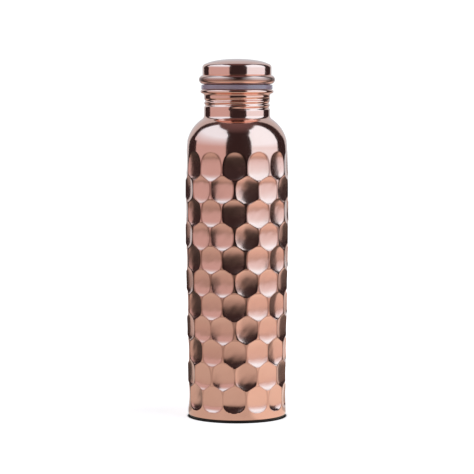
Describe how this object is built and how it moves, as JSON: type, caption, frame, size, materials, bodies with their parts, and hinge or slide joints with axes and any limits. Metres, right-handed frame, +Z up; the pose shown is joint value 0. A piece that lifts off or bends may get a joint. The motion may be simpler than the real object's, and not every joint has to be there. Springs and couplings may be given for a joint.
{
  "type": "water bottle",
  "caption": "Hammered copper water bottle with a rolled-thread neck and a domed screw stopper on a silicone ring.",
  "frame": {"origin": "centre of the foot ring, on the surface the bottle stands on", "axes": "+Z up along the bottle's axis, towards the stopper; X and Y are level, and the neck's thread first crosses the +X side 224.4 mm up"},
  "size_m": [0.075, 0.0752, 0.2595],
  "materials": {
    "hammered_copper": "polished copper, hammered",
    "base_copper": "pressed copper, dull polish",
    "silicone": "translucent grey silicone",
    "plug_copper": "rolled copper sleeve, satin",
    "cap_copper": "polished copper, knurled bead"
  },
  "bodies": {
    "bottle": {"bottle_body": "hammered_copper", "base_plate": "base_copper"},
    "seal": {"cap_gasket": "silicone"},
    "stopper": {"cap_plug": "plug_copper", "cap_shell": "cap_copper"}
  },
  "joints": [
    {"name": "cap_rise", "type": "slide", "parent": "bottle", "child": "seal", "axis": [0, 0, 1], "range_m": [0, 0.0193]},
    {"name": "cap_turn", "type": "hinge", "parent": "seal", "child": "stopper", "pos_m": [0, 0, 0.23], "axis": [0, 0, 1], "range_deg": [0, 2160]}
  ],
  "couplings": [
    {"joint": "cap_rise", "follows": "cap_turn", "m_per_rad": 0.0005093}
  ]
}
